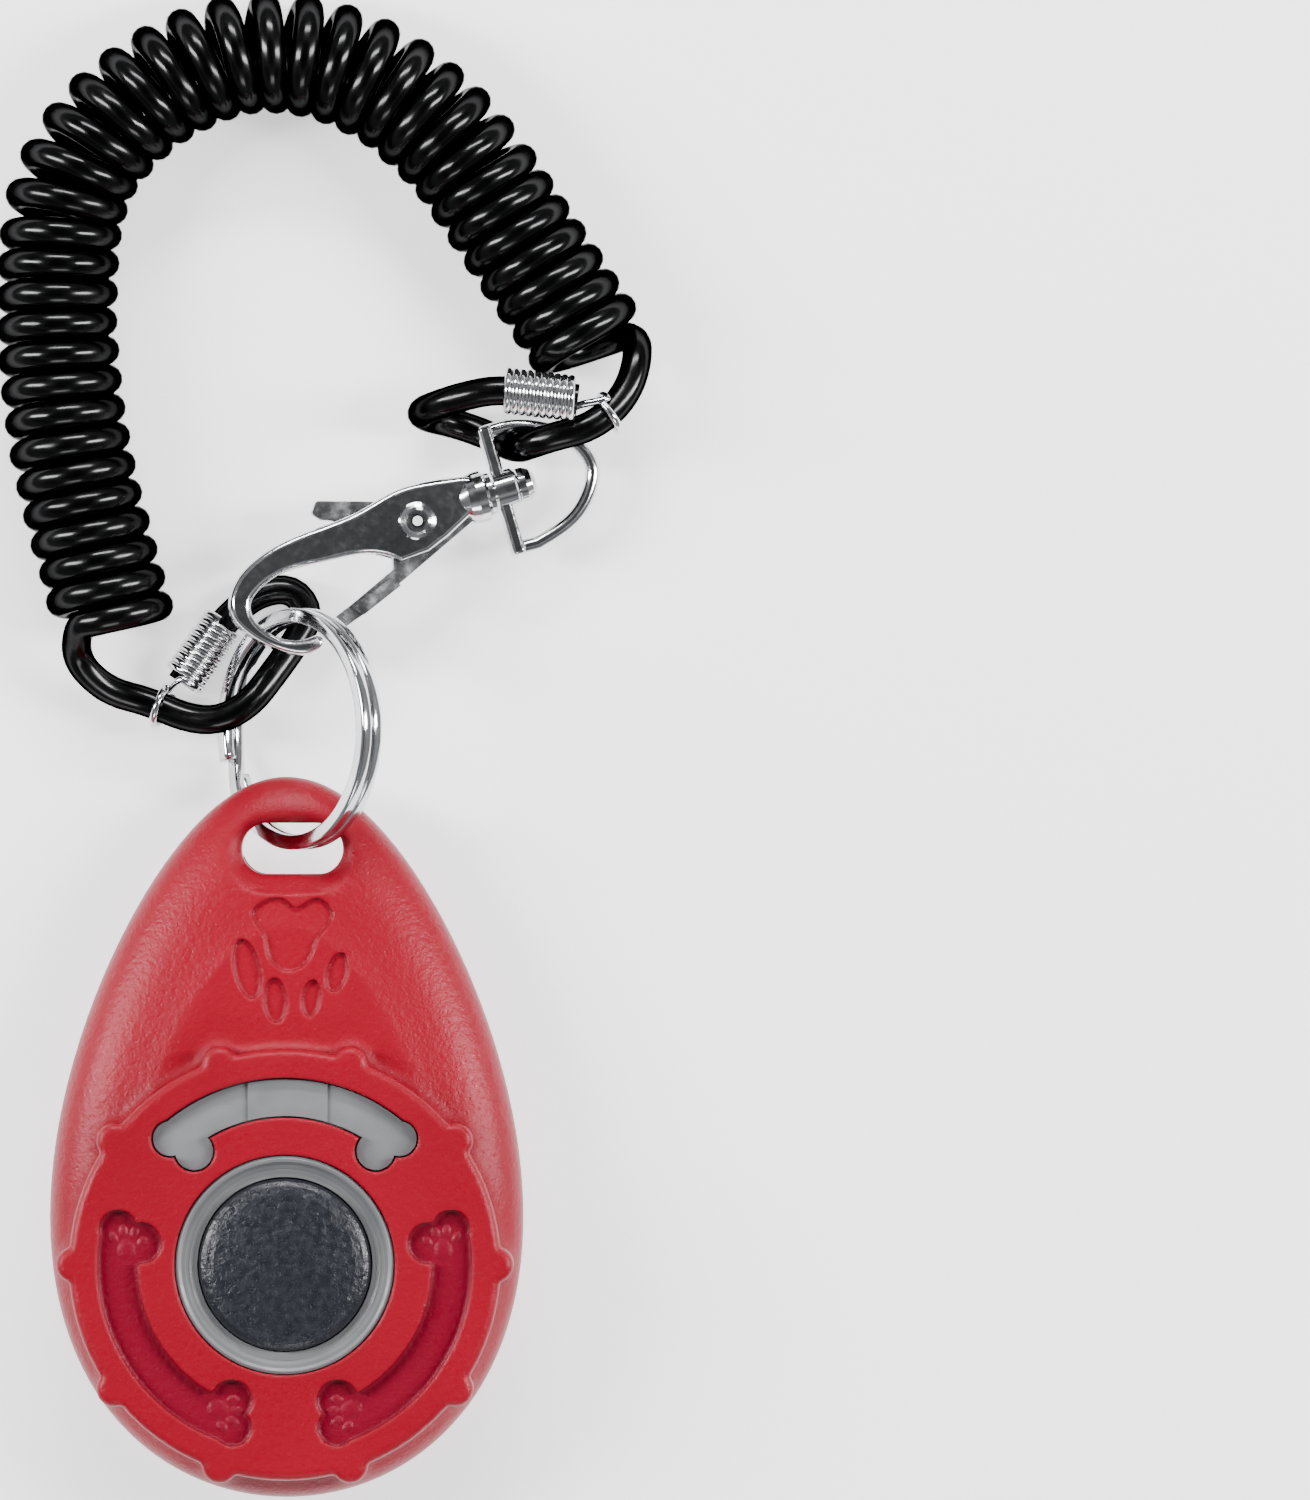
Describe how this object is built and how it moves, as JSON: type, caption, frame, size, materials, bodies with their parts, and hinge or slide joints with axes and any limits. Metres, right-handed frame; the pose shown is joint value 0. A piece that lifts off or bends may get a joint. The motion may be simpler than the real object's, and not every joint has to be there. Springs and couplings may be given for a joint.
{
  "type": "clicker trainer",
  "caption": "Egg-shaped thumb clicker with a knuckled round platform, split ring, lobster clasp and coiled wrist strap.",
  "frame": {"origin": "centre of the flat rest area on the rear cover, on the button's axis", "axes": "+Z along the button's axis out of the front cover; +Y towards the lanyard hole and the strap"},
  "size_m": [0.0587, 0.1349, 0.0186],
  "materials": {
    "shell": "fine moulded grain, satin gloss",
    "carrier": "satin",
    "button": "leather grain",
    "plunger": "satin",
    "spring_steel": "rolled",
    "rivet": "plain",
    "ring_steel": "nickel plated",
    "clasp_metal": "polished plate",
    "cord": "glossy",
    "crimp_wire": "bright wire"
  },
  "bodies": {
    "clicker": {"front_cover": "shell", "rear_cover": "shell", "inner_carrier": "carrier", "click_plate": "spring_steel", "plate_rivets": "rivet"},
    "button": {"button_cap": "button", "button_plunger": "plunger"},
    "ring": {"split_ring": "ring_steel"},
    "clasp": {"clasp_body": "clasp_metal", "gate_rivet": "clasp_metal", "gate_spring": "spring_steel", "swivel_stud": "clasp_metal", "wrist_coil": "cord", "ring_end_loop": "cord", "clasp_end_loop": "cord", "ring_end_crimp": "crimp_wire", "clasp_end_crimp": "crimp_wire"},
    "gate": {"clasp_gate": "clasp_metal"},
    "eye": {"swivel_eye": "clasp_metal"}
  },
  "joints": [
    {"name": "button_press", "type": "slide", "parent": "clicker", "child": "button", "axis": [0, 0, -1], "range_m": [0, 0.0012], "stiffness_N_per_m": 900, "deforming": ["click_plate"]},
    {"name": "ring_swing", "type": "hinge", "parent": "clicker", "child": "ring", "pos_m": [0.00055, 0.0412, 0.0086], "axis": [1, 0, 0], "range_deg": [0, 15]},
    {"name": "clasp_swing", "type": "hinge", "parent": "ring", "child": "clasp", "pos_m": [-0.0015, 0.057, 0.0083], "axis": [0, 0, 1], "range_deg": [-8, 4], "deforming": ["ring_end_loop", "ring_end_crimp"]},
    {"name": "gate_hinge", "type": "hinge", "parent": "clasp", "child": "gate", "pos_m": [0.0115, 0.06625, 0.0064], "axis": [0.1255, 0.036, 0.9914], "range_deg": [-20, 0], "stiffness_Nm_per_rad": 0.01, "deforming": ["gate_spring"]},
    {"name": "swivel_turn", "type": "hinge", "parent": "clasp", "child": "eye", "pos_m": [0.01133, 0.06683, 0.0064], "axis": [0.953, 0.2733, -0.1305], "continuous": true, "deforming": ["clasp_end_loop", "clasp_end_crimp"]}
  ]
}
